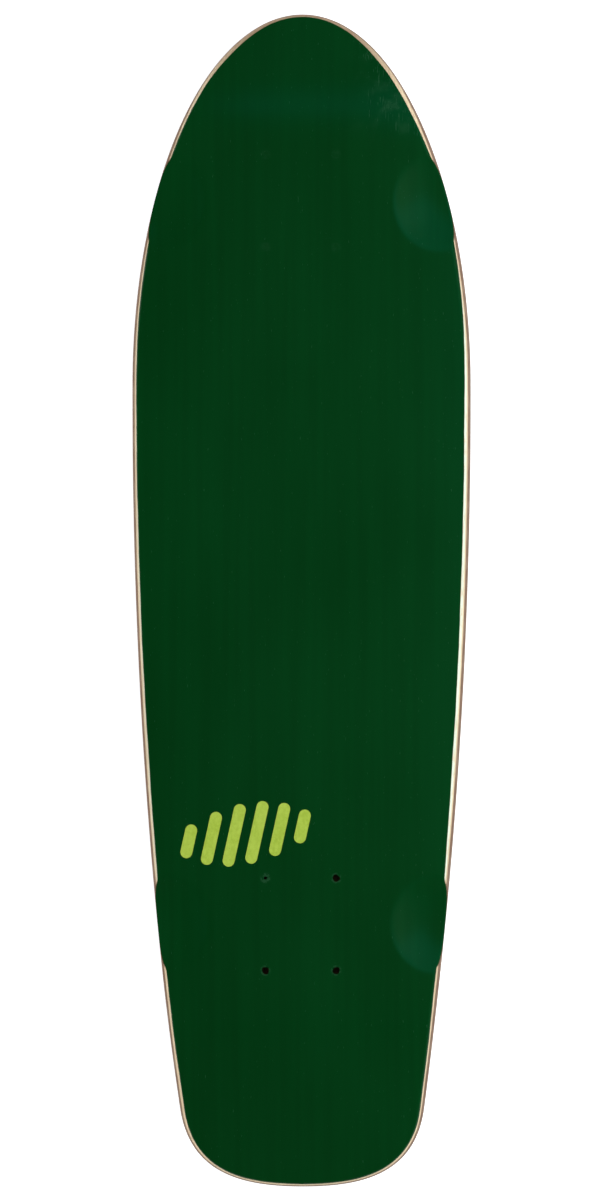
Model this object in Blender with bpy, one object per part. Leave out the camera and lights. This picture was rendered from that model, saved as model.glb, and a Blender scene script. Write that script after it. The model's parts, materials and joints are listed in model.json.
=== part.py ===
"""Bare skateboard deck: seven pressed maple veneers, paint film, stripes and grip tape.

Frame: metres. The deck lies with its grip side down and its painted underside up (+Z).
+Y points to the nose and +X to the right of someone looking down at the underside.
The origin is on the surface that the deck lies on, under the middle of its length and width.

Every layer is cut from the same pressed shape: a flat strip down the middle, rails that
bend down on both sides, and a nose and a tail that bend down past the truck bolts. A layer
is given by its height above the middle of the wood's thickness, square to the bent deck.
"""
import math

import bpy
import bmesh
import numpy as np
from mathutils import Matrix, Vector
from mathutils.geometry import interpolate_bezier

# Overall sizes, at the deck's widest line half way through its thickness
LENGTH = 0.6850
WIDTH = 0.1978
THICKNESS = 0.0111            # wood only

# Outline seen from above
WIDEST_AHEAD = 0.1257         # widest place, ahead of the middle of the length
TAIL_WIDTH = 0.1428           # where the tail's corners start
TAIL_CORNER = 0.0459          # length of the tail's rounded end
TAIL_TAPER = 2.1345           # how fast a side narrows there, against its mean from the widest
NOSE_FULLNESS = 0.56          # curve handles, as shares of the span that each one shapes
SHOULDER_FULLNESS = 0.55
WAIST_FULLNESS = 0.126
HIP_FULLNESS = 0.476
CORNER_FULLNESS = 0.86
TAIL_END_FULLNESS = 0.48

# Bolt holes for the two trucks
WHEELBASE = 0.3683            # between the inner bolts of the two trucks
BOLTS_ACROSS = 0.04128
BOLTS_LENGTHWISE = 0.05398
BOLT_HOLE = 0.0052
WHEELBASE_AHEAD = 0.0223      # middle of the wheelbase, ahead of the middle of the length

# Pressed shape
FLAT_STRIP = 0.0600           # width that stays flat along the middle
RAIL_DROP = 0.0055            # how far the rails bend, at the widest place
KICK_SETBACK = 0.0050         # from the outer bolts to where a kick starts
KICK_DROP = 0.0240            # how far the nose and the tail bend, so the deck lies level
NOSE_BEND_RADIUS = 0.1000
TAIL_BEND_RADIUS = 0.1600
EDGE_INSET = 0.0031           # how far the rounded edge stands back at each face

# Wheel wells, dished into the underside beside the trucks
WELL_RADIUS = 0.0280
WELL_DEPTH = 0.0055
WELL_INSET = 0.0050           # from the deck's edge in to the middle of a well

# Layers and the gaps between them
GAP = 0.0003
PAINT = 0.00025
STRIPE_FILM = 0.00020
GRIP = 0.0008

# Leaning stripes ahead of the rear bolts
STRIPE_COUNT = 6
STRIPE_WIDTH = 0.0070
STRIPE_PITCH = 0.0134
LONGEST_STRIPE = 0.0380
SHORTEST_STRIPE = 0.0200
STRIPE_LEAN = math.radians(20)
MARK_TILT = math.radians(7.5)
MARK_LEFT = 0.0323
MARK_AHEAD = 0.0528           # ahead of the middle of the rear bolts

MAPLE = (0.76, 0.63, 0.42)
DYED_CORE = (0.80, 0.74, 0.55)
VENEERS = [                   # from the painted underside to the grip side
    ("bottom_face_veneer", MAPLE),
    ("bottom_core_veneer", MAPLE),
    ("lower_crossband", DYED_CORE),
    ("centre_core_veneer", MAPLE),
    ("upper_crossband", DYED_CORE),
    ("top_core_veneer", MAPLE),
    ("top_face_veneer", MAPLE),
]
GREEN = (0.003, 0.036, 0.007)
LIME = (0.40, 0.54, 0.07)
BLACK = (0.012, 0.012, 0.013)
WOOD_ROUGHNESS = 0.55
PAINT_ROUGHNESS = 0.25
INK_ROUGHNESS = 0.30
GRIT_ROUGHNESS = 0.95

# Worked out from the sizes above
HALF = THICKNESS / 2
VENEER = (THICKNESS - (len(VENEERS) - 1) * GAP) / len(VENEERS)
TRUCK_HALF_SPAN = (WHEELBASE + BOLTS_LENGTHWISE) / 2
TRUCK_LINES = (WHEELBASE_AHEAD + TRUCK_HALF_SPAN, WHEELBASE_AHEAD - TRUCK_HALF_SPAN)
NOSE_KICK = TRUCK_LINES[0] + BOLTS_LENGTHWISE / 2 + KICK_SETBACK
TAIL_KICK = TRUCK_LINES[1] - BOLTS_LENGTHWISE / 2 - KICK_SETBACK
EDGE_RADIUS = (HALF ** 2 + EDGE_INSET ** 2) / (2 * EDGE_INSET)

SIDE_COLUMNS = 3              # facets across each bent rail
END_ROWS = 8                  # rows round the nose and round the tail
BEND_ROWS = 4
MIDDLE_ROWS = 4               # rows each side of the widest place
WELL_RINGS = 4
WELL_SIDES = 24
HOLE_SIDES = 10
STRIPE_END_SIDES = 8
PAINT_EDGE_STEPS = 4          # facets down the rounded edge where the paint runs into a well
PAINT_CUT_MARGIN = 0.0020     # how far the solid that hollows the paint stands out past it
WELL_CUTTER_SPREAD = 1.25     # radius of the cutter for a well, against the well's own
HEADING_STEP = 0.0002         # stretch of outline each side that gives its direction
TIP_HALF_WIDTH = 1e-6         # narrower than this, a row is the one point of a tip


# ---- the pressed shape -------------------------------------------------------------------

def side_outline():
    """Points of the right side's outline, from the nose to the tail, as two arrays x and y."""
    widest = Vector((WIDTH / 2, WIDEST_AHEAD))
    nose = Vector((0, LENGTH / 2))
    tail = Vector((0, -LENGTH / 2))
    hip = Vector((TAIL_WIDTH / 2, TAIL_CORNER - LENGTH / 2))
    shoulder_span = nose.y - widest.y
    waist_span = widest.y - hip.y
    mean_taper = (widest.x - hip.x) / waist_span
    taper = Vector((-TAIL_TAPER * mean_taper, -1)).normalized()
    spans = [
        (nose, nose + Vector((widest.x * NOSE_FULLNESS, 0)),
         widest + Vector((0, shoulder_span * SHOULDER_FULLNESS)), widest),
        (widest, widest - Vector((0, waist_span * WAIST_FULLNESS)),
         hip - taper * waist_span * HIP_FULLNESS, hip),
        (hip, hip + taper * TAIL_CORNER * CORNER_FULLNESS,
         tail + Vector((hip.x * TAIL_END_FULLNESS, 0)), tail),
    ]
    points = [point for span in spans for point in interpolate_bezier(*span, 200)]
    return np.array([p.x for p in points]), np.array([p.y for p in points])


OUTLINE_X, OUTLINE_Y = side_outline()


def half_width(y):
    """Distance from the midline to the outline at y, which is nothing at the two tips."""
    if abs(y) >= LENGTH / 2:
        return 0.0
    return float(np.interp(-y, -OUTLINE_Y, OUTLINE_X))


def outline_normal(y):
    """Direction that the right side's outline faces at y, in plan."""
    if y >= LENGTH / 2 or y <= -LENGTH / 2:
        return 0.0, math.copysign(1.0, y)
    step = min(HEADING_STEP, LENGTH / 2 - abs(y))
    slope = (half_width(y + step) - half_width(y - step)) / (2 * step)
    size = math.hypot(1, slope)
    return 1 / size, -slope / size


def kick_angle(reach, radius):
    """Angle of a bend of this radius, and the straight after it, that drop KICK_DROP in reach."""
    across, down = reach, radius - KICK_DROP
    return math.atan2(across, down) - math.acos(radius / math.hypot(across, down))


def long_profile(y):
    """Drop below the flat middle, slope angle and heading of the deck's length at y."""
    if y > NOSE_KICK:
        start, reach, radius, heading = NOSE_KICK, LENGTH / 2 - NOSE_KICK, NOSE_BEND_RADIUS, 1
    elif y < TAIL_KICK:
        start, reach, radius, heading = TAIL_KICK, LENGTH / 2 + TAIL_KICK, TAIL_BEND_RADIUS, -1
    else:
        return 0.0, 0.0, 1
    angle = kick_angle(reach, radius)
    along = abs(y - start)
    bend_length = radius * math.sin(angle)
    if along < bend_length:
        slope = math.asin(along / radius)
        return radius * (1 - math.cos(slope)), slope, heading
    drop = radius * (1 - math.cos(angle)) + (along - bend_length) * math.tan(angle)
    return drop, angle, heading


def rail_drop(x):
    """How far the rails bend below the flat strip at x."""
    beyond = max(0.0, abs(x) - FLAT_STRIP / 2)
    return RAIL_DROP * (beyond / (WIDTH / 2 - FLAT_STRIP / 2)) ** 2


def rail_slope(x):
    """Steepness of the bent rails at x."""
    beyond = max(0.0, abs(x) - FLAT_STRIP / 2)
    return 2 * RAIL_DROP * beyond / (WIDTH / 2 - FLAT_STRIP / 2) ** 2


def deck_point(x, y, height):
    """Place a point at this height above the middle of the thickness, square to the deck."""
    drop, slope, heading = long_profile(y)
    lift = height * math.cos(slope) - drop - rail_drop(x)
    return Vector((x, y + heading * height * math.sin(slope), lift))


def edge_inset(height):
    """How far the rounded edge stands back from the widest line at this height."""
    reach = min(abs(height), HALF)
    return EDGE_RADIUS - math.sqrt(EDGE_RADIUS ** 2 - reach ** 2)


def row_places():
    """Places along the deck where its facets meet, from the nose to the tail."""
    nose_angle = kick_angle(LENGTH / 2 - NOSE_KICK, NOSE_BEND_RADIUS)
    tail_angle = kick_angle(LENGTH / 2 + TAIL_KICK, TAIL_BEND_RADIUS)
    nose_bend = [NOSE_KICK + NOSE_BEND_RADIUS * math.sin(nose_angle * i / BEND_ROWS)
                 for i in range(BEND_ROWS + 1)]
    tail_bend = [TAIL_KICK - TAIL_BEND_RADIUS * math.sin(tail_angle * i / BEND_ROWS)
                 for i in range(BEND_ROWS + 1)]
    quarter = [1 - math.sin(math.pi / 2 * i / END_ROWS) for i in range(1, END_ROWS + 1)]
    nose_end = [LENGTH / 2 - (LENGTH / 2 - nose_bend[-1]) * s for s in quarter]
    tail_end = [(LENGTH / 2 + tail_bend[-1]) * s - LENGTH / 2 for s in quarter]
    front = [NOSE_KICK + (WIDEST_AHEAD - NOSE_KICK) * i / MIDDLE_ROWS
             for i in range(1, MIDDLE_ROWS + 1)]
    back = [WIDEST_AHEAD + (TAIL_KICK - WIDEST_AHEAD) * i / MIDDLE_ROWS
            for i in range(1, MIDDLE_ROWS)]
    return nose_end[::-1] + nose_bend[::-1] + front + back + tail_bend + tail_end


ROWS = row_places()


# ---- meshes ------------------------------------------------------------------------------

def row_points(y, height, inset):
    """One row of points across the deck, from its left edge to its right edge."""
    across, along = outline_normal(y)
    edge = half_width(y) - inset * across
    y -= inset * along
    if edge < TIP_HALF_WIDTH:
        return [deck_point(0, y, height)]
    flat = min(FLAT_STRIP / 2, edge / 2)
    right = [flat + (edge - flat) * i / SIDE_COLUMNS for i in range(SIDE_COLUMNS + 1)]
    return [deck_point(x, y, height) for x in [-x for x in right[::-1]] + right]


def join_rows(mesh, first, second):
    """Fill the facets between two rows; a row of one point is the tip of the nose or tail."""
    if len(first) == 1:
        for a, b in zip(second, second[1:]):
            mesh.faces.new((first[0], a, b))
    elif len(second) == 1:
        for a, b in zip(first, first[1:]):
            mesh.faces.new((a, second[0], b))
    else:
        for a, b, c, d in zip(first, first[1:], second[1:], second):
            mesh.faces.new((a, d, c, b))


def rim(rows):
    """The points round the edge of a layer's rows, in order."""
    left = [row[0] for row in rows]
    right = [row[-1] for row in rows[1:-1]]
    return left + right[::-1]


def layer_mesh(name, levels):
    """Closed mesh of a layer; levels are (height, inset) pairs from the top to the bottom."""
    shape = bmesh.new()
    rims = []
    for number, (height, inset) in enumerate(levels):
        rows = [[shape.verts.new(p) for p in row_points(y, height, inset)] for y in ROWS]
        rims.append(rim(rows))
        if number in (0, len(levels) - 1):
            for first, second in zip(rows, rows[1:]):
                join_rows(shape, first, second)
        else:
            inner = {v for row in rows for v in row} - set(rims[-1])
            bmesh.ops.delete(shape, geom=list(inner), context="VERTS")
    for upper, lower in zip(rims, rims[1:]):
        count = len(upper)
        for i in range(count):
            j = (i + 1) % count
            shape.faces.new((upper[i], lower[i], lower[j], upper[j]))
    bmesh.ops.recalc_face_normals(shape, faces=shape.faces)
    return finished_mesh(name, shape)


def finished_mesh(name, shape):
    """Turn a bmesh into a mesh and free it."""
    mesh = bpy.data.meshes.new(name)
    shape.to_mesh(mesh)
    shape.free()
    return mesh


def prism(shape, outline, low, high):
    """Add an upright prism on an outline of (x, y) points."""
    bottom = [shape.verts.new((x, y, low)) for x, y in outline]
    top = [shape.verts.new((x, y, high)) for x, y in outline]
    shape.faces.new(bottom[::-1])
    shape.faces.new(top)
    for i in range(len(outline)):
        j = (i + 1) % len(outline)
        shape.faces.new((bottom[i], bottom[j], top[j], top[i]))


def bolt_hole_mesh(name, lines):
    """Upright drills, four for the truck on each of these lines."""
    shape = bmesh.new()
    turns = [2 * math.pi * (i + 0.5) / HOLE_SIDES for i in range(HOLE_SIDES)]
    for line in lines:
        for side in (-1, 1):
            for end in (-1, 1):
                x = side * BOLTS_ACROSS / 2
                y = line + end * BOLTS_LENGTHWISE / 2
                ring = [(x + BOLT_HOLE / 2 * math.cos(t), y + BOLT_HOLE / 2 * math.sin(t))
                        for t in turns]
                prism(shape, ring, -2 * THICKNESS, 2 * THICKNESS)
    return finished_mesh(name, shape)


def well_mesh(name, lift):
    """Four round-bottomed dish cutters, raised square to the rails by lift."""
    ball = (WELL_RADIUS ** 2 + WELL_DEPTH ** 2) / (2 * WELL_DEPTH)
    reach = WELL_RADIUS * WELL_CUTTER_SPREAD
    radii = [reach * i / WELL_RINGS for i in range(WELL_RINGS + 1)]
    bowl = [(r, ball - math.sqrt(ball ** 2 - r ** 2) - WELL_DEPTH) for r in radii]
    shape = bmesh.new()
    for line in TRUCK_LINES:
        x = half_width(line) - WELL_INSET
        for side in (-1, 1):
            tilt = side * math.atan(rail_slope(x))
            seat = Matrix.Translation(deck_point(side * x, line, HALF + lift))
            seat = seat @ Matrix.Rotation(tilt, 4, "Y")
            foot = shape.verts.new(seat @ Vector((0, 0, bowl[0][1])))
            rings = []
            for radius, z in bowl[1:] + [(reach, bowl[-1][1] + 2 * THICKNESS)]:
                turns = [2 * math.pi * i / WELL_SIDES for i in range(WELL_SIDES)]
                rings.append([shape.verts.new(
                    seat @ Vector((radius * math.cos(t), radius * math.sin(t), z)))
                    for t in turns])
            for i in range(WELL_SIDES):
                j = (i + 1) % WELL_SIDES
                shape.faces.new((foot, rings[0][j], rings[0][i]))
                for inner, outer in zip(rings, rings[1:]):
                    shape.faces.new((inner[i], inner[j], outer[j], outer[i]))
            shape.faces.new(rings[-1])
    bmesh.ops.recalc_face_normals(shape, faces=shape.faces)
    return finished_mesh(name, shape)


def stripe_mesh(number):
    """Upright prism on the outline of one leaning, round-ended stripe."""
    spread = 2 * number / (STRIPE_COUNT - 1) - 1
    length = LONGEST_STRIPE - (LONGEST_STRIPE - SHORTEST_STRIPE) * spread ** 2
    radius = STRIPE_WIDTH / 2
    turns = [math.pi * i / STRIPE_END_SIDES for i in range(STRIPE_END_SIDES + 1)]
    top = [(radius * math.cos(t), length / 2 - radius + radius * math.sin(t)) for t in turns]
    bar = top + [(-x, -y) for x, y in top]
    middle = Vector((-MARK_LEFT, TRUCK_LINES[1] + MARK_AHEAD))
    step = Vector((math.cos(MARK_TILT), math.sin(MARK_TILT))) * STRIPE_PITCH
    middle += step * (number - (STRIPE_COUNT - 1) / 2)
    lean = Matrix.Rotation(MARK_TILT - STRIPE_LEAN, 2)
    outline = [middle + lean @ Vector(p) for p in bar]
    shape = bmesh.new()
    prism(shape, [(p.x, p.y) for p in outline], -THICKNESS, 2 * THICKNESS)
    return finished_mesh(f"stripe_cutter_{number + 1}", shape)


# ---- objects -----------------------------------------------------------------------------

def material(name, colour, roughness):
    """A plain Principled material."""
    made = bpy.data.materials.new(name)
    made.use_nodes = True
    shader = made.node_tree.nodes["Principled BSDF"]
    shader.inputs["Base Color"].default_value = (*colour, 1)
    shader.inputs["Roughness"].default_value = roughness
    shader.inputs["Metallic"].default_value = 0
    return made


def add_piece(name, mesh, colour, roughness):
    """One solid piece of the deck."""
    piece = bpy.data.objects.new(name, mesh)
    mesh.materials.append(material(name, colour, roughness))
    bpy.context.scene.collection.objects.link(piece)
    return piece


def add_cutter(name, mesh):
    """A solid that only cuts others."""
    cutter = bpy.data.objects.new(name, mesh)
    cutter.hide_render = True
    cutter.display_type = "WIRE"
    bpy.context.scene.collection.objects.link(cutter)
    return cutter


def boolean(piece, cutter, operation="DIFFERENCE"):
    """Cut a piece with another solid."""
    cut = piece.modifiers.new(cutter.name, "BOOLEAN")
    cut.operation = operation
    cut.solver = "EXACT"
    cut.object = cutter


def add_veneers(drills, wells):
    """Seven veneers, each standing back at its edge to follow the rounded rim."""
    top = HALF
    for name, colour in VENEERS:
        bottom = top - VENEER
        levels = [(top, edge_inset(top)), (bottom, edge_inset(bottom))]
        piece = add_piece(name, layer_mesh(name, levels), colour, WOOD_ROUGHNESS)
        boolean(piece, drills)
        if HALF - top < WELL_DEPTH:
            boolean(piece, wells)
        top = bottom - GAP


def add_paint():
    """Green film over the underside and down into the wells, out to the bare rounded edge.

    It bridges the front bolt holes, and the rear ones are open through it.
    """
    under, over = HALF + GAP, HALF + GAP + PAINT
    floor = HALF - WELL_DEPTH - VENEER
    heights = [HALF + (floor - HALF) * i / PAINT_EDGE_STEPS for i in range(PAINT_EDGE_STEPS + 1)]
    block = [(over, EDGE_INSET)] + [(h, edge_inset(h)) for h in heights]
    core = [(under, EDGE_INSET - PAINT_CUT_MARGIN)]
    core += [(h, edge_inset(h) - PAINT_CUT_MARGIN) for h in heights + [floor - VENEER]]
    wells_over = add_cutter("wells_over_paint", well_mesh("wells_over_paint", GAP + PAINT))
    wells_under = add_cutter("wells_under_paint", well_mesh("wells_under_paint", GAP))
    inside = add_cutter("paint_inside", layer_mesh("paint_inside", core))
    boolean(inside, wells_under)
    film = add_piece("paint_film", layer_mesh("paint_film", block), GREEN, PAINT_ROUGHNESS)
    boolean(film, wells_over)
    boolean(film, inside)
    rear_holes = bolt_hole_mesh("rear_paint_drills", TRUCK_LINES[1:])
    boolean(film, add_cutter("rear_paint_drills", rear_holes))


def add_stripes():
    """Leaning stripes printed on the paint."""
    under = HALF + GAP + PAINT + GAP
    levels = [(under + STRIPE_FILM, EDGE_INSET), (under, EDGE_INSET)]
    for number in range(STRIPE_COUNT):
        name = f"lime_stripe_{number + 1}"
        piece = add_piece(name, layer_mesh(name, levels), LIME, INK_ROUGHNESS)
        mesh = stripe_mesh(number)
        boolean(piece, add_cutter(mesh.name, mesh), "INTERSECT")


def add_grip_tape():
    """Grit-faced sheet on the side that the rider stands on, closed over the bolt holes."""
    top = -HALF - GAP
    levels = [(top, EDGE_INSET), (top - GRIP, EDGE_INSET)]
    add_piece("grip_tape", layer_mesh("grip_tape", levels), BLACK, GRIT_ROUGHNESS)


def stand_on_origin():
    """Hang everything on one empty that puts the origin under the middle of the deck."""
    objects = list(bpy.context.scene.objects)
    corners = [v.co for o in objects if not o.hide_render for v in o.data.vertices]
    low_y, high_y = min(c.y for c in corners), max(c.y for c in corners)
    base = bpy.data.objects.new("deck", None)
    base.location = (0, -(low_y + high_y) / 2, -min(c.z for c in corners))
    bpy.context.scene.collection.objects.link(base)
    for item in objects:
        item.parent = base


def main():
    for old in list(bpy.data.objects):
        bpy.data.objects.remove(old, do_unlink=True)
    drills = add_cutter("bolt_drills", bolt_hole_mesh("bolt_drills", TRUCK_LINES))
    wells = add_cutter("wells", well_mesh("wells", 0))
    add_veneers(drills, wells)
    add_paint()
    add_stripes()
    add_grip_tape()
    stand_on_origin()


main()
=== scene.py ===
"""A bare skateboard deck, painted side up: pressed maple, gloss paint, screened ink, grip tape.

Metres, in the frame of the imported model: +Y points to the nose, +Z is up, and the deck lies on
its grip side. The pieces are made in the order in which a deck is put together.
"""
import json
import math

import bpy
import numpy as np
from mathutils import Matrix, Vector
from mathutils.geometry import interpolate_bezier


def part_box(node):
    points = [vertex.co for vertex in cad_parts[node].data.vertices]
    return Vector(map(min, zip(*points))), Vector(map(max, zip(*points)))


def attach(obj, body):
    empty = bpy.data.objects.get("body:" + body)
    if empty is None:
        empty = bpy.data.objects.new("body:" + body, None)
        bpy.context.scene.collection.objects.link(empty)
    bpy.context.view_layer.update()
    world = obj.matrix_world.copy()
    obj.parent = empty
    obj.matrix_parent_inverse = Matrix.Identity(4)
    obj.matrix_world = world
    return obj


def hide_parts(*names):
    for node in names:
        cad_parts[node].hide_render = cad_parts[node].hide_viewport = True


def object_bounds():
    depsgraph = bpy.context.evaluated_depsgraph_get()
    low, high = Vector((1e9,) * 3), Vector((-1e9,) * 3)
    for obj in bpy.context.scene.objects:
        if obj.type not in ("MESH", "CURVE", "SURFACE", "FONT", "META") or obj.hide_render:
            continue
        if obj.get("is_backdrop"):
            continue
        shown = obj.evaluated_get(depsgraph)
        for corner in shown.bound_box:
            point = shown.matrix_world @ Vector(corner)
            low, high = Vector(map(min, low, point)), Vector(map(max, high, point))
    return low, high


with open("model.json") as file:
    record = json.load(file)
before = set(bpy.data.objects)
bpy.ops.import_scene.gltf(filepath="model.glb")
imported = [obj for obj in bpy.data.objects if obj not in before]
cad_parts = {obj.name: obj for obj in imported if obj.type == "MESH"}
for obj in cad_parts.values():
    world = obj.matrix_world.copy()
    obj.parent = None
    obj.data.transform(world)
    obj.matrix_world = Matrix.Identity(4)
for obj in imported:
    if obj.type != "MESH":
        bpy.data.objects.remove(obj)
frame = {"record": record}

cad_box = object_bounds()


# ---- Seven maple veneers -----------------------------------------------------------------
# Sheets of hard maple glued face to face and pressed cold in a mould, which bends the rails,
# the nose and the tail. The blank is then sawn to its outline, and a router rounds its edge.
# Two of the seven sheets are crossbands, with their grain across the deck.

LENGTH = 0.68496
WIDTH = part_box("centre_core_veneer")[1].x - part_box("centre_core_veneer")[0].x
THICKNESS = 0.0111
WIDEST_AHEAD = 0.1257
TAIL_WIDTH = 0.1428
TAIL_CORNER = 0.0459
TAIL_TAPER = 2.1345
NOSE_FULLNESS, SHOULDER_FULLNESS = 0.56, 0.55
WAIST_FULLNESS, HIP_FULLNESS = 0.126, 0.476
CORNER_FULLNESS, TAIL_END_FULLNESS = 0.86, 0.48

BOLTS_ACROSS = 0.04128
BOLTS_LENGTHWISE = 0.05398
BOLT_HOLE = 0.0052
FLAT_STRIP = 0.0600
RAIL_DROP = 0.0055
KICK_SETBACK = 0.0050
KICK_DROP = 0.0240
NOSE_BEND_RADIUS = 0.1000
TAIL_BEND_RADIUS = 0.1600
EDGE_INSET = 0.0031
WELL_RADIUS = 0.0280
WELL_DEPTH = 0.0055
WELL_INSET = 0.0050

VENEER_GAP = 0.0003           # between the solids of two veneers
GLUE_LINE = 0.00016           # what shows of it; the wood fills the rest
PAINT = 0.00025
SKIN_CLEARANCE = 0.00002      # between the wood and the film laid on it
CURVE_STEPS = 400             # points worked out on each curve of the outline

# The record's two truck pads say where the trucks sit and how high the painted face is.
pads = {mount["name"]: Vector(mount["pos_m"]) for mount in frame["record"]["mounts"]}
FRONT_TRUCK = pads["front_truck_pad"].y
REAR_TRUCK = pads["rear_truck_pad"].y
HALF = THICKNESS / 2
MIDDLE_Z = pads["front_truck_pad"].z - HALF - VENEER_GAP - PAINT
WHEELBASE_AHEAD = 0.0223
MIDDLE_Y = (FRONT_TRUCK + REAR_TRUCK) / 2 - WHEELBASE_AHEAD
NOSE_KICK = FRONT_TRUCK + BOLTS_LENGTHWISE / 2 + KICK_SETBACK
TAIL_KICK = REAR_TRUCK - BOLTS_LENGTHWISE / 2 - KICK_SETBACK
NOSE_TIP = MIDDLE_Y + LENGTH / 2
TAIL_TIP = MIDDLE_Y - LENGTH / 2
EDGE_RADIUS = (HALF ** 2 + EDGE_INSET ** 2) / (2 * EDGE_INSET)
RAIL_REACH = (WIDTH - FLAT_STRIP) / 2


def side_outline(rows):
    """The right side's outline in even steps along it, and the way it faces: x, y, nx, ny."""
    widest = Vector((WIDTH / 2, MIDDLE_Y + WIDEST_AHEAD))
    nose, tail = Vector((0, NOSE_TIP)), Vector((0, TAIL_TIP))
    hip = Vector((TAIL_WIDTH / 2, TAIL_TIP + TAIL_CORNER))
    shoulder, waist = nose.y - widest.y, widest.y - hip.y
    taper = Vector((-TAIL_TAPER * (widest.x - hip.x) / waist, -1)).normalized()
    spans = [
        (nose, nose + Vector((widest.x * NOSE_FULLNESS, 0)),
         widest + Vector((0, shoulder * SHOULDER_FULLNESS)), widest),
        (widest, widest - Vector((0, waist * WAIST_FULLNESS)),
         hip - taper * waist * HIP_FULLNESS, hip),
        (hip, hip + taper * TAIL_CORNER * CORNER_FULLNESS,
         tail + Vector((hip.x * TAIL_END_FULLNESS, 0)), tail),
    ]
    points = [p for span in spans for p in interpolate_bezier(*span, CURVE_STEPS)[:-1]] + [tail]
    line = np.array([tuple(p) for p in points], float)
    steps = np.hypot(*np.diff(line, axis=0).T)
    along = np.concatenate([[0], np.cumsum(steps)])
    even = np.linspace(0, along[-1], rows + 1)
    x, y = np.interp(even, along, line[:, 0]), np.interp(even, along, line[:, 1])
    x[0] = x[-1] = 0.0
    run, fall = np.gradient(x), np.gradient(y)
    run[[0, -1]], fall[[0, -1]] = (1, -1), (0, 0)
    size = np.hypot(run, fall)
    return x, y, -fall / size, run / size


def kick_angle(reach, radius):
    """Angle of a bend of this radius, and the straight after it, that drop KICK_DROP."""
    down = radius - KICK_DROP
    return math.atan2(reach, down) - math.acos(radius / math.hypot(reach, down))


def kick(along, reach, radius):
    """Drop, slope and length of wood at a distance past the start of a kick."""
    angle = kick_angle(reach, radius)
    bend = radius * math.sin(angle)
    slope = np.arcsin(np.clip(along, 0, bend) / radius)
    straight = np.maximum(along - bend, 0)
    drop = radius * (1 - np.cos(slope)) + straight * math.tan(angle)
    return drop, slope, radius * slope + straight / math.cos(angle)


def long_profile(y):
    """Drop below the flat middle, slope towards the nose, and length of wood from mid-length."""
    nose_drop, nose_slope, nose_run = kick(y - NOSE_KICK, NOSE_TIP - NOSE_KICK, NOSE_BEND_RADIUS)
    tail_drop, tail_slope, tail_run = kick(TAIL_KICK - y, TAIL_KICK - TAIL_TIP, TAIL_BEND_RADIUS)
    run = np.clip(y, TAIL_KICK, NOSE_KICK) + nose_run - tail_run
    return nose_drop + tail_drop, nose_slope - tail_slope, run


def rail_drop(x):
    """How far the rails bend below the flat strip at x."""
    beyond = np.maximum(0.0, np.abs(x) - FLAT_STRIP / 2)
    return RAIL_DROP * (beyond / RAIL_REACH) ** 2


def edge_inset(height):
    """How far the rounded edge stands back from the widest line at this height."""
    return EDGE_RADIUS - np.sqrt(EDGE_RADIUS ** 2 - np.square(height))


def press(x, y, height):
    """Bend flat stock in the mould: a place on the deck and a height above its mid-thickness."""
    drop, slope, run = long_profile(y)
    lift = height * np.cos(slope) - drop - rail_drop(x)
    return np.stack([x, y + height * np.sin(slope), MIDDLE_Z + lift], axis=-1)


def points_of(piece):
    """A mesh piece's points as an array."""
    flat = np.empty(len(piece.data.vertices) * 3)
    piece.data.vertices.foreach_get("co", flat)
    return flat.reshape(-1, 3)


def move_points(piece, points):
    """Put a mesh piece's points at new places."""
    piece.data.vertices.foreach_set("co", np.ascontiguousarray(points, float).ravel())
    piece.data.update()


def slab(name, columns, rows, cuts):
    """A flat grid extruded to a slab, with cuts round its edge, as u, v and w from -1 to 1."""
    bpy.ops.object.select_all(action="DESELECT")
    bpy.ops.mesh.primitive_grid_add(x_subdivisions=columns, y_subdivisions=rows, size=2,
                                    location=(0, 0, 1))
    made = bpy.context.object
    made.name = made.data.name = name
    bpy.ops.object.transform_apply(location=True, rotation=False, scale=False)
    bpy.ops.object.mode_set(mode="EDIT")
    bpy.ops.mesh.select_all(action="SELECT")
    bpy.ops.mesh.extrude_region_move(TRANSFORM_OT_translate={"value": (0, 0, -2)})
    bpy.ops.mesh.select_all(action="DESELECT")
    bpy.ops.object.mode_set(mode="OBJECT")
    tall = np.abs(edge_rise(made)) > 1
    made.data.edges.foreach_set("select", tall)
    bpy.ops.object.mode_set(mode="EDIT")
    bpy.ops.mesh.select_mode(type="EDGE")
    bpy.ops.mesh.subdivide(number_cuts=cuts)
    bpy.ops.mesh.select_all(action="SELECT")
    bpy.ops.mesh.normals_make_consistent(inside=False)
    bpy.ops.object.mode_set(mode="OBJECT")
    return made


def edge_rise(piece):
    """How much higher one end of each edge is than the other."""
    ends = np.empty(len(piece.data.edges) * 2, int)
    piece.data.edges.foreach_get("vertices", ends)
    heights = points_of(piece)[ends.reshape(-1, 2), 2]
    return heights[:, 1] - heights[:, 0]


MERGE_REACH = 0.00001


def merge_tips(piece):
    """Close the nose and the tail, where a slab's end rows have shrunk to a point."""
    bpy.ops.object.mode_set(mode="EDIT")
    bpy.ops.mesh.select_all(action="SELECT")
    bpy.ops.mesh.remove_doubles(threshold=MERGE_REACH)
    bpy.ops.object.mode_set(mode="OBJECT")


EDGE_ROWS = 300
EDGE_COLUMNS = 24
ARC_CUTS = 2                  # rows of points down the rounded edge between a veneer's faces


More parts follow.
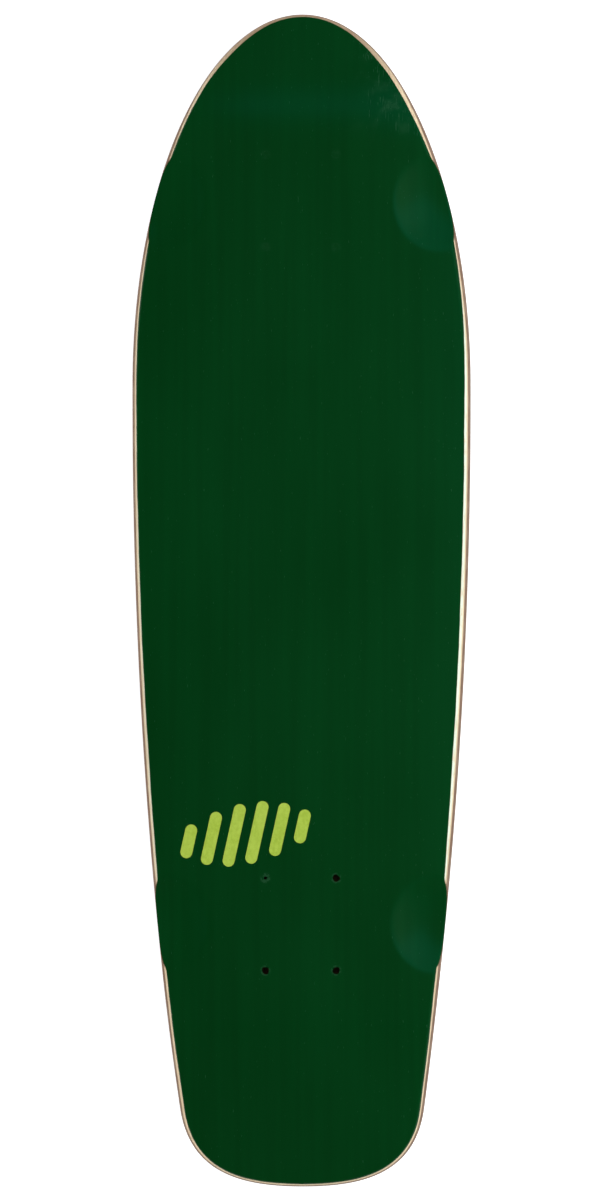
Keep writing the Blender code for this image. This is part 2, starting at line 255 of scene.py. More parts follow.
def sawn_layer(name, top, bottom):
    """A pressed sheet sawn to the deck's outline, with its edge on the router's arc."""
    layer = slab(name, EDGE_COLUMNS, EDGE_ROWS, ARC_CUTS)
    u, v, w = points_of(layer).T
    x, y, nx, ny = side_outline(EDGE_ROWS)
    row = np.rint((1 - v) / 2 * EDGE_ROWS).astype(int)
    height = bottom + (top - bottom) * (w + 1) / 2
    inset = edge_inset(height)
    across = u * np.maximum(x[row] - inset * nx[row], 0)
    move_points(layer, press(across, y[row] - inset * ny[row], height))
    merge_tips(layer)
    return layer


WELL_BALL = (WELL_RADIUS ** 2 + WELL_DEPTH ** 2) / (2 * WELL_DEPTH)
WELL_HEADROOM = 0.010         # how far the cutter's head stands out of the wood
WELL_SEGMENTS, WELL_RINGS = 64, 96


def well_seats(lift):
    """Each wheel well, raised by lift: its middle, the ball's centre and the rail's tilt."""
    x, y, nx, ny = side_outline(EDGE_ROWS)
    for line in (FRONT_TRUCK, REAR_TRUCK):
        out = float(np.interp(-line, -y, x)) - WELL_INSET
        tilt = math.atan(2 * RAIL_DROP * (out - FLAT_STRIP / 2) / RAIL_REACH ** 2)
        for side in (-1, 1):
            seat = Vector(press(side * out, line, HALF + lift))
            up = Vector((math.sin(side * tilt), 0, math.cos(side * tilt)))
            yield seat, seat + up * (WELL_BALL - WELL_DEPTH), side * tilt


def well_tool(lift):
    """The four round-nosed cutters that sand the wheel wells."""
    for seat, ball, tilt in well_seats(lift):
        up = Vector((math.sin(tilt), 0, math.cos(tilt)))
        bpy.ops.mesh.primitive_uv_sphere_add(segments=WELL_SEGMENTS, ring_count=WELL_RINGS,
                                             radius=WELL_BALL, location=ball,
                                             rotation=(0, tilt, 0))
        bpy.ops.object.mode_set(mode="EDIT")
        bpy.ops.mesh.select_all(action="SELECT")
        bpy.ops.mesh.bisect(plane_co=seat + up * WELL_HEADROOM, plane_no=up,
                            use_fill=True, clear_outer=True)
        bpy.ops.object.mode_set(mode="OBJECT")
        yield bpy.context.object


DRILL_SIDES = 48
DRILL_LENGTH = 0.06


def bolt_places(*lines):
    """Centres of the four bolt holes round each truck line."""
    return [(side * BOLTS_ACROSS / 2, line + end * BOLTS_LENGTHWISE / 2)
            for line in lines for side in (-1, 1) for end in (-1, 1)]


def drills(radius, places, sides=DRILL_SIDES):
    """Upright drills at these places."""
    for x, y in places:
        bpy.ops.mesh.primitive_cylinder_add(vertices=sides, radius=radius, depth=DRILL_LENGTH,
                                            location=(x, y, MIDDLE_Z))
        yield bpy.context.object


def one_tool(name, parts):
    """Join cutters into one tool, with its place in its mesh."""
    bpy.ops.object.select_all(action="DESELECT")
    parts = list(parts)
    bpy.ops.object.select_all(action="DESELECT")
    for part in parts:
        part.select_set(True)
    bpy.context.view_layer.objects.active = parts[0]
    bpy.ops.object.join()
    bpy.ops.object.transform_apply(location=True, rotation=True, scale=True)
    tool = bpy.context.object
    tool.name = name
    tool.hide_render = True
    return tool


def cut(piece, tool):
    """Take a tool's shape out of a piece."""
    bpy.ops.object.select_all(action="DESELECT")
    bpy.context.view_layer.objects.active = piece
    piece.select_set(True)
    made = piece.modifiers.new("cut", "BOOLEAN")
    made.operation = "DIFFERENCE"
    made.solver = "EXACT"
    made.object = tool
    bpy.ops.object.modifier_apply(modifier=made.name)


def smooth(piece, degrees=30):
    """Shade a piece smooth but for its sharp corners."""
    bpy.ops.object.select_all(action="DESELECT")
    bpy.context.view_layer.objects.active = piece
    piece.select_set(True)
    bpy.ops.object.shade_smooth_by_angle(angle=math.radians(degrees))


UNBEND_PASSES = 3


def remember_grain(piece):
    """Keep where each point lay in the flat sheet, before the press bent it, as "grain"."""
    x, y, z = points_of(piece).T
    flat_y, height = y, z
    for _ in range(UNBEND_PASSES):
        drop, slope, run = long_profile(flat_y)
        height = (z - MIDDLE_Z + drop + rail_drop(x)) / np.cos(slope)
        flat_y = y - height * np.sin(slope)
    grain = piece.data.attributes.new("grain", "FLOAT_VECTOR", "POINT")
    grain.data.foreach_set("vector", np.stack([x, run, height], axis=-1).ravel())


class Socket:
    """A socket of a material's nodes. Arithmetic on it adds Math nodes."""

    def __init__(self, tree, socket=None):
        self.tree, self.socket = tree, socket

    def node(self, kind, settings=None, inputs=None, output=0):
        """Any other node: its settings first, then the values or links of its sockets."""
        made = self.tree.nodes.new(kind)
        for name, value in (settings or {}).items():
            setattr(made, name, value)
        for name, value in (inputs or {}).items():
            if isinstance(value, Socket):
                self.tree.links.new(value.socket, made.inputs[name])
            else:
                made.inputs[name].default_value = value
        return Socket(self.tree, made.outputs[output])

    def maths(self, operation, *values):
        return self.node("ShaderNodeMath", {"operation": operation}, dict(enumerate(values)))

    def __add__(self, other):
        return self.maths("ADD", self, other)

    def __sub__(self, other):
        return self.maths("SUBTRACT", self, other)

    def __rsub__(self, other):
        return self.maths("SUBTRACT", other, self)

    def __mul__(self, other):
        return self.maths("MULTIPLY", self, other)

    __radd__, __rmul__ = __add__, __mul__

    def between(self, low, high):
        """0 below low and 1 above high, smooth between them; low may be the greater."""
        return self.node("ShaderNodeMapRange", {"interpolation_type": "SMOOTHSTEP"},
                         {"Value": self, "From Min": low, "From Max": high})

    def mix(self, below, above):
        """From one colour to another, by this factor."""
        shades = {6: below, 7: above}
        shades = {n: s if isinstance(s, Socket) else (*s, 1) for n, s in shades.items()}
        return self.node("ShaderNodeMix", {"data_type": "RGBA"}, {0: self, **shades}, output=2)

    def noise(self, stretch, detail=2.0, roughness=0.5, distortion=0.0):
        """Noise on this coordinate with features of this size in metres each way."""
        sized = self.node("ShaderNodeMapping", {"vector_type": "POINT"},
                          {"Vector": self, "Scale": [1 / size for size in stretch]})
        return self.node("ShaderNodeTexNoise", {}, {
            "Vector": sized, "Scale": 1.0, "Detail": detail, "Roughness": roughness,
            "Distortion": distortion})

    def axis(self, letter):
        return self.node("ShaderNodeSeparateXYZ", {}, {0: self}, output="XYZ".index(letter))


def start_finish(name):
    """A new material: its wrapped nodes and its Principled shader."""
    made = bpy.data.materials.new(name)
    made.use_nodes = True
    return made, Socket(made.node_tree), made.node_tree.nodes["Principled BSDF"]


def wire(nodes, shader, **inputs):
    """Feed the shader's sockets, which are named with _ for a space."""
    for name, value in inputs.items():
        socket = shader.inputs[name.replace("_", " ")]
        if isinstance(value, Socket):
            nodes.tree.links.new(value.socket, socket)
        else:
            socket.default_value = value


STREAK = (0.0011, 0.060, 0.0008)          # across the grain, along it, through the sheet
FIBRE = (0.00022, 0.0075, 0.00016)
# pale paint dust along the top of the rim, partly a painted highlight that is stronger on the right
# side
DUST_AND_HIGHLIGHT_TAIL_END, DUST_AND_HIGHLIGHT_NOSE_END = -0.20, 0.235
DUST_AND_HIGHLIGHT_FADE = 0.04
DUST_AND_HIGHLIGHT_FOOT, DUST_AND_HIGHLIGHT_FULL = HALF - 0.0010, HALF - 0.0005
DUST_AND_HIGHLIGHT_COLOUR = (0.82, 0.92, 0.74)
# painted shade: darker brown over the middle of the edge's thickness, where the rounded edge faces
# sideways
SIDE_SHADE_FULL, SIDE_SHADE_END = 0.0037, 0.0045    # above and below mid-thickness
SIDE_SHADE_COLOUR = (0.15, 0.072, 0.036)
NOSE_BROWN_START, NOSE_BROWN_FULL = 0.290, 0.340
NOSE_BROWN_COLOUR = (0.24, 0.12, 0.06)


def maple(name, along, pale, tan, fibre, dust_and_highlight=0.0):
    """Maple with its grain along the deck or across it.

    It has streaks and dark fibres along the grain. The middle of the edge's thickness, which faces
    sideways, is painted darker brown as painted shade, and the nose's edge is browner towards its
    tip.
    dust_and_highlight is pale paint dust at the top of the rim. It is partly a painted highlight,
    painted stronger on the right side's rim.
    """
    made, nodes, shader = start_finish(name)
    place = nodes.node("ShaderNodeAttribute", {"attribute_name": "grain"}, output=1)
    stretch, fine = STREAK, FIBRE
    if not along:
        stretch, fine = ((size[1], size[0], size[2]) for size in (STREAK, FIBRE))
    streak = place.noise(stretch, detail=3, distortion=0.3)
    fibres = place.noise(fine, detail=2, roughness=0.6)
    patch = place.noise((0.03, 0.09, 0.004), detail=1)
    colour = streak.between(0.35, 0.68).mix(pale, tan)
    colour = (fibres.between(0.56, 0.72) * 0.55).mix(colour, fibre)
    colour = (patch.between(0.45, 0.75) * 0.35).mix(colour, tan)
    if dust_and_highlight:
        # pale paint dust at the top of the rim, partly painted highlight
        height = place.axis("Z").between(DUST_AND_HIGHLIGHT_FOOT, DUST_AND_HIGHLIGHT_FULL)
        # painted highlight: the band is made stronger towards the right side
        side = place.axis("X").between(-0.04, 0.05) * 0.55 + 0.45
        worn = place.noise((0.0012, 0.0060, 0.001), detail=3).between(0.22, 0.55)
        ahead = place.axis("Y").between(DUST_AND_HIGHLIGHT_NOSE_END, DUST_AND_HIGHLIGHT_NOSE_END - DUST_AND_HIGHLIGHT_FADE)
        behind = place.axis("Y").between(DUST_AND_HIGHLIGHT_TAIL_END, DUST_AND_HIGHLIGHT_TAIL_END + DUST_AND_HIGHLIGHT_FADE)
        colour = (height * side * worn * (ahead * behind) * dust_and_highlight).mix(colour, DUST_AND_HIGHLIGHT_COLOUR)
    nose_tip = place.axis("Y").between(NOSE_BROWN_START, NOSE_BROWN_FULL)
    # painted shade across the middle of the edge's thickness, which faces sideways
    below = place.axis("Z").between(SIDE_SHADE_END, SIDE_SHADE_FULL)
    above = place.axis("Z").between(-SIDE_SHADE_END, -SIDE_SHADE_FULL)
    nose_and_shade_breakup = place.noise((0.004, 0.012, 0.002), detail=2).between(0.25, 0.60) * 0.20 + 0.78
    colour = (nose_tip * nose_and_shade_breakup * 0.75).mix(colour, NOSE_BROWN_COLOUR)
    # mix in the painted shade on the middle of the edge
    colour = (below * above * nose_and_shade_breakup).mix(colour, SIDE_SHADE_COLOUR)
    relief = nodes.node("ShaderNodeBump", {}, {
        "Height": fibres * 0.6 + streak * 0.4, "Strength": 0.35, "Distance": 0.00012})
    wire(nodes, shader, Base_Color=colour, Roughness=0.52 + 0.18 * fibres, Normal=relief)
    return made


long_maple = maple("maple_long_grain", True, pale=(0.84, 0.70, 0.54), tan=(0.70, 0.55, 0.39),
                   fibre=(0.36, 0.25, 0.15))
rim_maple = maple("maple_under_paint", True, pale=(0.84, 0.68, 0.45), tan=(0.68, 0.52, 0.33),
                  fibre=(0.38, 0.26, 0.15), dust_and_highlight=0.95)
cross_maple = maple("maple_crossband", False, pale=(0.36, 0.27, 0.19), tan=(0.27, 0.19, 0.13),
                    fibre=(0.16, 0.10, 0.06))

VENEERS = [                   # from the painted face down to the grip side
    ("bottom_face_veneer", rim_maple, "maple"),
    ("bottom_core_veneer", long_maple, "maple"),
    ("lower_crossband", cross_maple, "maple_crossband"),
    ("centre_core_veneer", long_maple, "maple"),
    ("upper_crossband", cross_maple, "maple_crossband"),
    ("top_core_veneer", long_maple, "maple"),
    ("top_face_veneer", long_maple, "maple"),
]
VENEER = (THICKNESS - (len(VENEERS) - 1) * VENEER_GAP) / len(VENEERS)
PITCH = VENEER + VENEER_GAP
WOOD_TOP = HALF + VENEER_GAP - SKIN_CLEARANCE

bolt_tool = one_tool("bolt_drills", drills(BOLT_HOLE / 2, bolt_places(FRONT_TRUCK, REAR_TRUCK)))
sanding_tool = one_tool("well_sanders", well_tool(0))


def bore_and_sand(piece, top):
    """Drill the bolt holes, and sand the wells into whatever reaches up to them."""
    cut(piece, bolt_tool)
    if HALF - top < WELL_DEPTH:
        cut(piece, sanding_tool)
    smooth(piece)
    remember_grain(piece)


for number, (node, finish, slot) in enumerate(VENEERS):
    top = HALF - number * PITCH + (VENEER_GAP - GLUE_LINE) / 2
    bottom = HALF - number * PITCH - VENEER - (VENEER_GAP - GLUE_LINE) / 2
    if number == 0:
        top = WOOD_TOP
    if number == len(VENEERS) - 1:
        bottom = -WOOD_TOP
    veneer = sawn_layer(node + "_wood", top, bottom)
    bore_and_sand(veneer, top)
    veneer.data.materials.append(finish)
    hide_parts(node)
    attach(veneer, "root")


# ---- Glue lines --------------------------------------------------------------------------
# Wood glue that the press squeezes between each two veneers. It dries hard and brown, and the
# sander leaves it a hair below the wood, so it draws a fine line round the deck's edge.

glue_finish, nodes, shader = start_finish("dried_glue")
place = nodes.node("ShaderNodeAttribute", {"attribute_name": "grain"}, output=1)
blot = place.noise((0.003, 0.009, 0.003), detail=3)
wire(nodes, shader, Base_Color=blot.between(0.3, 0.7).mix((0.23, 0.14, 0.07), (0.40, 0.27, 0.15)),
     Roughness=0.35 + 0.25 * blot)

for number in range(len(VENEERS) - 1):
    height = HALF - VENEER - number * PITCH - VENEER_GAP / 2
    glue = sawn_layer(f"glue_line_{number + 1}", height + GLUE_LINE / 2, height - GLUE_LINE / 2)
    bore_and_sand(glue, height)
    glue.data.materials.append(glue_finish)
    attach(glue, "root")


# ---- Green paint -------------------------------------------------------------------------
# Gloss enamel sprayed over the sanded underside and down into the wheel wells, then masked or
# sanded back to bare wood round the edge. It bridges the front bolt holes with a thin skin.
# The rear holes were drilled after it, with a chipped rim, and one is half filled again.

FILM_TOP = HALF + VENEER_GAP + PAINT
FILM_ROWS = 380
FILM_COLUMNS = 100
WRAP_SHARE = 0.08             # of the columns on each side, spent where the film turns down
WRAP_WIDTH = 0.0004           # least width of that stretch, inside the rounded edge
WELL_SOFTNESS = 0.0010        # how far the paint rounds over a well's rim
UNDERSIDE_SOFTNESS = WELL_SOFTNESS / 20
DIMPLE_DEPTH = 0.00014        # where the film sinks over a hole that it bridges
DIMPLE_RADIUS = 0.0021
WAVER = 0.00006               # of the masked line
WAVER_STEP = 0.0019           # between rows, as the waver counts them
LINE_SMOOTHING = 8            # rows on each side
FOOT_PASSES = 40
THINNEST_PAINT = 0.0001
EDGE_TUCK = 0.0001            # the film's upper edge, set in from its lower one
CREASE = 40                   # degrees
CLOGGED_HOLE = (-BOLTS_ACROSS / 2, REAR_TRUCK + BOLTS_LENGTHWISE / 2)
CLOGGED_SHARE = 0.45          # of its width, left open by the paint that half fills it
HOLE_OVERHANG = 0.0005        # how far the paint stands into a rear hole
CHIP_SIDES = 36
CHIP_WAVES = 3
CHIP_SIZE = 0.05              # of the hole's radius
# where the masked line runs: distance from mid-length, then bare wood on the left and right
MASKED_LINE = [
    (-0.343, 0.00260, 0.00260), (-0.300, 0.00275, 0.00220), (-0.223, 0.00255, 0.00225),
    (-0.155, 0.00285, 0.00305), (-0.080, 0.00295, 0.00355), (0.058, 0.00265, 0.00355),
    (0.129, 0.00235, 0.00330), (0.204, 0.00210, 0.00190), (0.263, 0.00205, 0.00220),
    (0.285, 0.00245, 0.00330), (0.305, 0.00350, 0.00420), (0.326, 0.00430, 0.00395),
    (0.343, 0.00320, 0.00320),
]


def arc_height(inset):
    """Height of the rounded edge this far in from the widest line."""
    return np.sqrt(EDGE_RADIUS ** 2 - (EDGE_RADIUS - np.clip(inset, 0, EDGE_RADIUS)) ** 2)


def film_height(x, y, inset, lift=VENEER_GAP + PAINT, softness=WELL_SOFTNESS):
    """Height above mid-thickness of a skin that is lift above the wood, sunk in the wells."""
    over_edge = arc_height(inset) + lift - VENEER_GAP + 2 * SKIN_CLEARANCE
    height = np.minimum(HALF + lift, over_edge)
    for _, ball, _ in well_seats(lift):
        near = np.maximum(WELL_BALL ** 2 - (x - ball.x) ** 2 - (y - ball.y) ** 2, 0)
        dish = ball.z - np.sqrt(near) - MIDDLE_Z + rail_drop(x)
        share = np.clip(0.5 + (height - dish) / (2 * softness), 0, 1)
        height = height + (dish - height) * share - softness * share * (1 - share)
    for hole_x, hole_y in bolt_places(FRONT_TRUCK) + [CLOGGED_HOLE]:
        away = np.hypot(x - hole_x, y - hole_y) / DIMPLE_RADIUS
        height = height - DIMPLE_DEPTH * np.exp(-away ** 4)
    return height


def paint_line(side):
    """How far in the film ends on one side: at the masked line, or at the foot of a well."""
    x, y, nx, ny = side_outline(FILM_ROWS)
    places, left, right = zip(*MASKED_LINE)
    masked = np.interp(y, places, right if side > 0 else left)
    window = 2 * LINE_SMOOTHING + 1
    masked = np.convolve(np.pad(masked, LINE_SMOOTHING, "edge"), np.full(window, 1 / window), "valid")
    run = np.arange(FILM_ROWS + 1) * WAVER_STEP + (4.0 if side > 0 else 0.0)
    masked += WAVER * (np.sin(run * 61) + np.sin(run * 143 + 1) + np.sin(run * 389 + 2) * 0.5)
    inset = masked
    for _ in range(FOOT_PASSES):
        height = film_height(side * (x - inset * nx), y - inset * ny, EDGE_RADIUS)
        foot = edge_inset(np.clip(height, 0, FILM_TOP))
        inset = 0.5 * inset + 0.5 * np.minimum(masked, foot)
    return inset


film = slab("green_paint_film", FILM_COLUMNS, FILM_ROWS, 1)
u, v, w = points_of(film).T
row = np.rint((1 - v) / 2 * FILM_ROWS).astype(int)
x, y, nx, ny = (line[row] for line in side_outline(FILM_ROWS))
tip = (row == 0) | (row == FILM_ROWS)
left_line, right_line = paint_line(-1), paint_line(1)
ends = np.where(u < 0, left_line[row], right_line[row])
ends = np.where(tip, np.maximum(left_line, right_line)[row], ends)
turns = np.where(tip, ends, np.maximum(ends, edge_inset(WOOD_TOP)) + WRAP_WIDTH)
wrap = np.clip((np.abs(u) - (1 - WRAP_SHARE)) / WRAP_SHARE, 0, 1)
inset = turns * (1 - wrap) + ends * wrap
share = np.minimum(np.abs(u) / (1 - WRAP_SHARE), 1)
across = np.sign(u) * share * np.maximum(x - inset * nx, 0)
midline = y - edge_inset(WOOD_TOP) * ny
along = np.where(tip, y - ends * ny, midline * (1 - share) + (y - inset * ny) * share)
upper_edge = (np.abs(u) > 1 - 1e-6) & (w > 0.5)
tuck = EDGE_TUCK / np.maximum(np.abs(across), 10 * EDGE_TUCK)
across = across * np.where(upper_edge, 1 - tuck, 1)
from_edge = np.where(share < 1, EDGE_RADIUS, inset)
surface = film_height(across, along, from_edge)
underside = film_height(across, along, from_edge, VENEER_GAP, UNDERSIDE_SOFTNESS)
underside = np.minimum(underside, surface - THINNEST_PAINT)
move_points(film, press(across, along, underside + (surface - underside) * (w + 1) / 2))
merge_tips(film)

chip = np.random.default_rng(7)
rim_tool = one_tool("rear_paint_drills", drills(BOLT_HOLE / 2 - HOLE_OVERHANG,
                                                bolt_places(REAR_TRUCK), sides=CHIP_SIDES))
ragged = points_of(rim_tool)
for x, y in bolt_places(REAR_TRUCK):
    mine = np.hypot(ragged[:, 0] - x, ragged[:, 1] - y) < BOLT_HOLE
    turn = np.arctan2(ragged[mine, 1] - y, ragged[mine, 0] - x)
    wave = chip.uniform(0, 2 * math.pi, CHIP_WAVES)
    grow = 1 + CHIP_SIZE * sum(np.sin(turn * (k + 2) + wave[k]) for k in range(CHIP_WAVES))
    if (x, y) == CLOGGED_HOLE:
        grow = grow * CLOGGED_SHARE
    ragged[mine, :2] = (x, y) + (ragged[mine, :2] - (x, y)) * grow[:, None]
move_points(rim_tool, ragged)
cut(film, rim_tool)
smooth(film, CREASE)
remember_grain(film)

PATCH_LEFT, PATCH_RIGHT = 0.020, 0.060    # where the nose's scuffs fade in towards the right
PATCH_BACK = (0.262, 0.285)
PATCH_FRONT = (0.352, 0.325)
BRUISE_END, BRUISE_FULL = 0.0036, 0.0020  # from a hole's centre
FRONT_BRUISE, REAR_BRUISE = 0.10, 0.42

made, nodes, shader = start_finish("gloss_green_enamel")
place = nodes.node("ShaderNodeAttribute", {"attribute_name": "grain"}, output=1)
here = nodes.node("ShaderNodeTexCoord", output=3)
streak = place.noise((0.0035, 0.160, 0.02), detail=3, roughness=0.55)
vein = place.noise((0.0009, 0.045, 0.02), detail=2)
cloud = place.noise((0.070, 0.120, 0.05), detail=2)
peel = here.noise((0.0022, 0.0022, 0.0022), detail=1)
depth = streak.between(0.30, 0.70) * 0.5 + cloud.between(0.3, 0.7) * 0.5
colour = depth.mix((0.0001, 0.0365, 0.0050), (0.0002, 0.0455, 0.0070))

# scuffs: short pale scratches lengthwise, most of them on the right of the nose
nose_patch = place.axis("X").between(PATCH_LEFT, PATCH_RIGHT)
nose_patch = nose_patch * place.axis("Y").between(*PATCH_BACK)
nose_patch = nose_patch * place.axis("Y").between(*PATCH_FRONT)
scratch = place.noise((0.0007, 0.0090, 0.02), detail=2, roughness=0.7, distortion=0.4)
scratch = scratch.between(0.60, 0.74) * nose_patch
rub = place.noise((0.010, 0.010, 0.02), detail=3).between(0.50, 0.72) * nose_patch
stray = place.noise((0.0006, 0.0030, 0.02), detail=1).between(0.745, 0.80)
# the paint is bruised pale round each bolt hole, most round the drilled ones
across, along = here.axis("X"), here.axis("Y")
bruise = 0.0
for line, strength in ((FRONT_TRUCK, FRONT_BRUISE), (REAR_TRUCK, REAR_BRUISE)):
    for hole_x, hole_y in bolt_places(line):
        far = ((across - hole_x) * (across - hole_x) + (along - hole_y) * (along - hole_y))
        near = far.between(BRUISE_END ** 2, BRUISE_FULL ** 2) * strength
        bruise = near + bruise
bruise = bruise * here.noise((0.0013, 0.0013, 0.01), detail=2).between(0.36, 0.60)
worn = scratch * 0.38 + rub * 0.14 + stray * 0.16 + bruise * 0.5
colour = worn.mix(colour, (0.045, 0.150, 0.075))
relief = nodes.node("ShaderNodeBump", {}, {
    "Height": streak * 0.5 + vein * 0.35 + peel * 0.15 - scratch * 0.5,
    "Strength": 0.12, "Distance": 0.00020})
wire(nodes, shader, Base_Color=colour, Roughness=0.22 + 0.06 * cloud + 0.30 * worn,
     Normal=relief, Specular_IOR_Level=0.42)
film.data.materials.append(made)
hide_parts("paint_film")
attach(film, "root")


# ---- Lime stripes ------------------------------------------------------------------------
# Six leaning bars of ink, screened on the paint ahead of the rear bolts. The screen lays the
# ink on in a film that is a little proud of the paint, with round ends and a few pinholes.

STRIPE_COUNT = 6
STRIPE_WIDTH = 0.0070
STRIPE_PITCH = 0.0134
LONGEST_STRIPE = 0.0380
SHORTEST_STRIPE = 0.0200
STRIPE_LEAN = math.radians(20)
MARK_TILT = math.radians(7.5)
MARK_LEFT = 0.0323
MARK_AHEAD = 0.0528
INK = 0.00006
INK_CLEARANCE = 0.00001
STRIPE_COLUMNS, STRIPE_ROWS = 8, 48

ink_finish, nodes, shader = start_finish("lime_screen_ink")
here = nodes.node("ShaderNodeTexCoord", output=3)
mottle = here.noise((0.0016, 0.0022, 0.01), detail=4, roughness=0.6)
wash = here.noise((0.012, 0.018, 0.01), detail=1)
pinhole = here.noise((0.00045, 0.00045, 0.01), detail=1).between(0.72, 0.78)
colour = mottle.between(0.30, 0.70).mix((0.365, 0.520, 0.042), (0.455, 0.615, 0.072))
colour = (wash.between(0.4, 0.7) * 0.4).mix(colour, (0.49, 0.65, 0.090))
colour = (pinhole * 0.8).mix(colour, (0.10, 0.20, 0.02))
relief = nodes.node("ShaderNodeBump", {}, {"Height": mottle, "Strength": 0.25, "Distance": 0.00005})
wire(nodes, shader, Base_Color=colour, Roughness=0.34 + 0.15 * mottle, Normal=relief)

for number in range(STRIPE_COUNT):
    spread = 2 * number / (STRIPE_COUNT - 1) - 1
    half_length = (LONGEST_STRIPE - (LONGEST_STRIPE - SHORTEST_STRIPE) * spread ** 2) / 2
    radius = STRIPE_WIDTH / 2
    stripe = slab(f"lime_ink_stripe_{number + 1}", STRIPE_COLUMNS, STRIPE_ROWS, 1)
    u, v, w = points_of(stripe).T
    run = half_length * np.sin(v * math.pi / 2)
    past = np.maximum(np.abs(run) - (half_length - radius), 0)
    side = u * np.sqrt(np.maximum(radius ** 2 - past ** 2, 0))
    turn = MARK_TILT - STRIPE_LEAN
    step = (number - (STRIPE_COUNT - 1) / 2) * STRIPE_PITCH
    x = -MARK_LEFT + step * math.cos(MARK_TILT) + side * math.cos(turn) - run * math.sin(turn)
    y = REAR_TRUCK + MARK_AHEAD + step * math.sin(MARK_TILT)
    y = y + side * math.sin(turn) + run * math.cos(turn)
    move_points(stripe, press(x, y, FILM_TOP + INK_CLEARANCE + INK * (w + 1) / 2))
    merge_tips(stripe)
    smooth(stripe)
    stripe.data.materials.append(ink_finish)
    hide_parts(f"lime_stripe_{number + 1}")
    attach(stripe, "root")


# ---- Grip tape ---------------------------------------------------------------------------
# A sheet of black grit on cloth with its own glue, laid over the side that the rider stands
# on, closed over the bolt holes, and trimmed with a knife where the rounded edge begins.

GRIP = 0.0008
GRIT = 0.00016
GRIP_ROWS = 300
GRIP_COLUMNS = 80
GRAINS_PER_METRE = 2200.0

grip = slab("grit_grip_tape", GRIP_COLUMNS, GRIP_ROWS, 1)
u, v, w = points_of(grip).T
x, y, nx, ny = side_outline(GRIP_ROWS)
row = np.rint((1 - v) / 2 * GRIP_ROWS).astype(int)
across = u * np.maximum(x[row] - EDGE_INSET * nx[row], 0)
grit = np.random.default_rng(11).uniform(0, GRIT, len(u)) * (w < 0) * (np.abs(u) < 0.999)
height = -HALF - VENEER_GAP - GRIP * (1 - w) / 2 + grit
move_points(grip, press(across, y[row] - EDGE_INSET * ny[row], height))
merge_tips(grip)
smooth(grip)
remember_grain(grip)

made, nodes, shader = start_finish("black_grit")
here = nodes.node("ShaderNodeTexCoord", output=3)
cell = nodes.node("ShaderNodeTexVoronoi", {}, {"Vector": here, "Scale": GRAINS_PER_METRE})
glint = here.noise((0.0005, 0.0005, 0.0005), detail=2)
dust = here.noise((0.020, 0.035, 0.02), detail=3)
colour = glint.between(0.55, 0.75).mix((0.010, 0.010, 0.011), (0.045, 0.045, 0.048))
colour = (dust.between(0.5, 0.8) * 0.25).mix(colour, (0.06, 0.058, 0.055))
place = nodes.node("ShaderNodeAttribute", {"attribute_name": "grain"}, output=1)
sticky_face = place.axis("Z").between(-HALF - VENEER_GAP - GRIP * 0.3, -HALF - VENEER_GAP)
colour = sticky_face.mix(colour, (0.11, 0.075, 0.035))
relief = nodes.node("ShaderNodeBump", {}, {"Height": 1 - cell, "Strength": 0.9, "Distance": 0.0003})
wire(nodes, shader, Base_Color=colour, Roughness=0.95 - 0.35 * glint.between(0.6, 0.8),
     Normal=relief)
grip.data.materials.append(made)
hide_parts("grip_tape")
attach(grip, "root")


# ---- Studio ------------------------------------------------------------------------------
# A pale floor, soft panels on both sides, at both ends and overhead, big cards that only the
# gloss of the paint picks up, and a long lens looking down on the painted side.

FLOOR_SIZE = 80
FLOOR_GAP = 0.0004            # under the grip tape
FLOOR_GLOW = 0.85

bpy.ops.object.select_all(action="DESELECT")
bpy.ops.mesh.primitive_plane_add(size=FLOOR_SIZE, location=(0, 0, -FLOOR_GAP))
floor = bpy.context.object
floor.name = floor.data.name = "pale_floor"
made, nodes, shader = start_finish("pale_paper")
wire(nodes, shader, Base_Color=(0.60, 0.60, 0.60, 1), Roughness=0.9, Specular_IOR_Level=0.0,
     Emission_Color=(1, 1, 1, 1), Emission_Strength=FLOOR_GLOW)
floor.data.materials.append(made)
floor.visible_diffuse = False
floor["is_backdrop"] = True


def panel(name, place, aim, width, height, power, gloss=None):
    """A soft panel turned to a point. One with a gloss colour shows in the gloss only."""
    lamp = bpy.data.lights.new(name, "AREA")
    lamp.shape = "RECTANGLE"
    lamp.size, lamp.size_y, lamp.energy = width, height, power
    held = bpy.data.objects.new(name, lamp)
    held.location = place
    held.rotation_euler = (Vector(aim) - Vector(place)).to_track_quat("-Z", "Y").to_euler()
    held.visible_camera = False
    if gloss:
        lamp.color = gloss
    held.visible_glossy = gloss is not None
    held.visible_diffuse = gloss is None
    bpy.context.collection.objects.link(held)


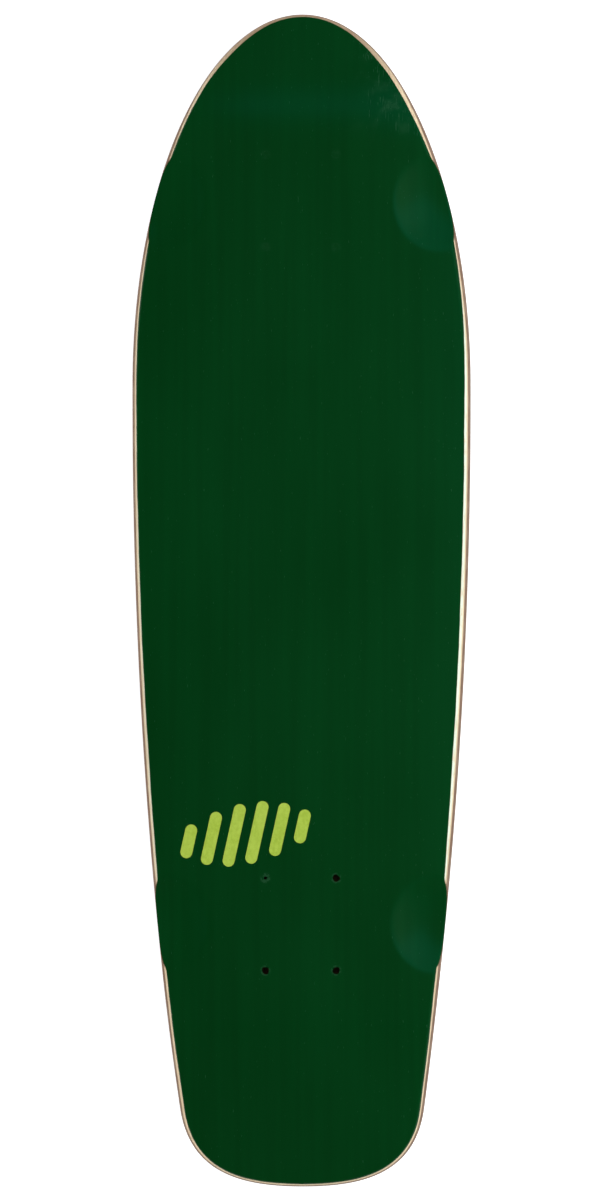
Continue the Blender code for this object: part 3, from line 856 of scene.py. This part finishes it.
panel("right_panel", (1.0, 0.12, 0.75), (0, 0, 0), 1.7, 0.8, 16.5)
panel("left_strip", (-1.3, 0.0, 0.20), (0, 0, 0), 1.9, 0.3, 15)
panel("tail_panel", (0, -2.3, 1.7), (0, 0, 0), 2.0, 1.2, 8)
panel("nose_strip", (0, 1.7, 0.5), (0, 0.3, 0), 1.6, 0.4, 7)
panel("tail_strip", (0, -1.7, 0.5), (0, -0.3, 0), 1.6, 0.4, 7)
panel("top_panel", (0.5, 0.1, 2.6), (0, 0, 0), 1.3, 1.8, 5)
panel("nose_card", (1.2, 1.5, 2.2), (0, 0.25, 0), 2.6, 2.4, 7.0, gloss=(0.03, 1.0, 0.80))
panel("right_card", (1.7, -0.2, 1.9), (0, 0, 0), 2.8, 2.2, 2.4, gloss=(0.02, 1.0, 0.60))
panel("left_card", (-2.0, 0, 1.2), (0, 0, 0), 2.4, 1.0, 0.5, gloss=(0.02, 1.0, 0.55))

world = bpy.data.worlds.new("studio")
world.use_nodes = True
bpy.context.scene.world = world
nodes = Socket(world.node_tree)
for old in list(world.node_tree.nodes):
    world.node_tree.nodes.remove(old)
air = nodes.node("ShaderNodeBackground", {}, {"Color": (0.9, 0.95, 1.0, 1), "Strength": 0.19})
dim = nodes.node("ShaderNodeBackground", {}, {"Color": (0.4, 1.0, 0.7, 1), "Strength": 0.02})
pale = nodes.node("ShaderNodeBackground", {}, {"Color": (1, 1, 1, 1), "Strength": 1.0})
direct = nodes.node("ShaderNodeLightPath", output="Is Camera Ray")
diffuse = nodes.node("ShaderNodeLightPath", output="Is Diffuse Ray")
unseen = nodes.node("ShaderNodeMixShader", {}, {0: diffuse, 1: dim, 2: air})
sky = nodes.node("ShaderNodeMixShader", {}, {0: direct, 1: unseen, 2: pale})
output = world.node_tree.nodes.new("ShaderNodeOutputWorld")
world.node_tree.links.new(sky.socket, output.inputs["Surface"])

VIEW_HEIGHT = 0.7007          # of the strip of the deck's plane that the camera takes in
CAMERA_DISTANCE = 12.0
CAMERA_LEAN = math.radians(2)
VIEW_CENTRE = (-0.0007, 0.0003)
SENSOR_WIDTH = 36
camera_data = bpy.data.cameras.new("camera")
camera_data.sensor_width = SENSOR_WIDTH
camera_data.lens = SENSOR_WIDTH * CAMERA_DISTANCE / VIEW_HEIGHT
camera = bpy.data.objects.new("camera", camera_data)
aim = Vector((*VIEW_CENTRE, MIDDLE_Z))
camera.location = aim + CAMERA_DISTANCE * Vector((math.sin(CAMERA_LEAN), 0, math.cos(CAMERA_LEAN)))
camera.rotation_euler = (0, CAMERA_LEAN, 0)
bpy.context.collection.objects.link(camera)
bpy.context.scene.camera = camera
bpy.context.scene.view_settings.view_transform = "Standard"

for tool in (bolt_tool, sanding_tool, rim_tool):
    bpy.data.objects.remove(tool)

boxes = {"cad": cad_box, "visual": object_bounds()}
{name: [list(corner) for corner in box] for name, box in boxes.items()}
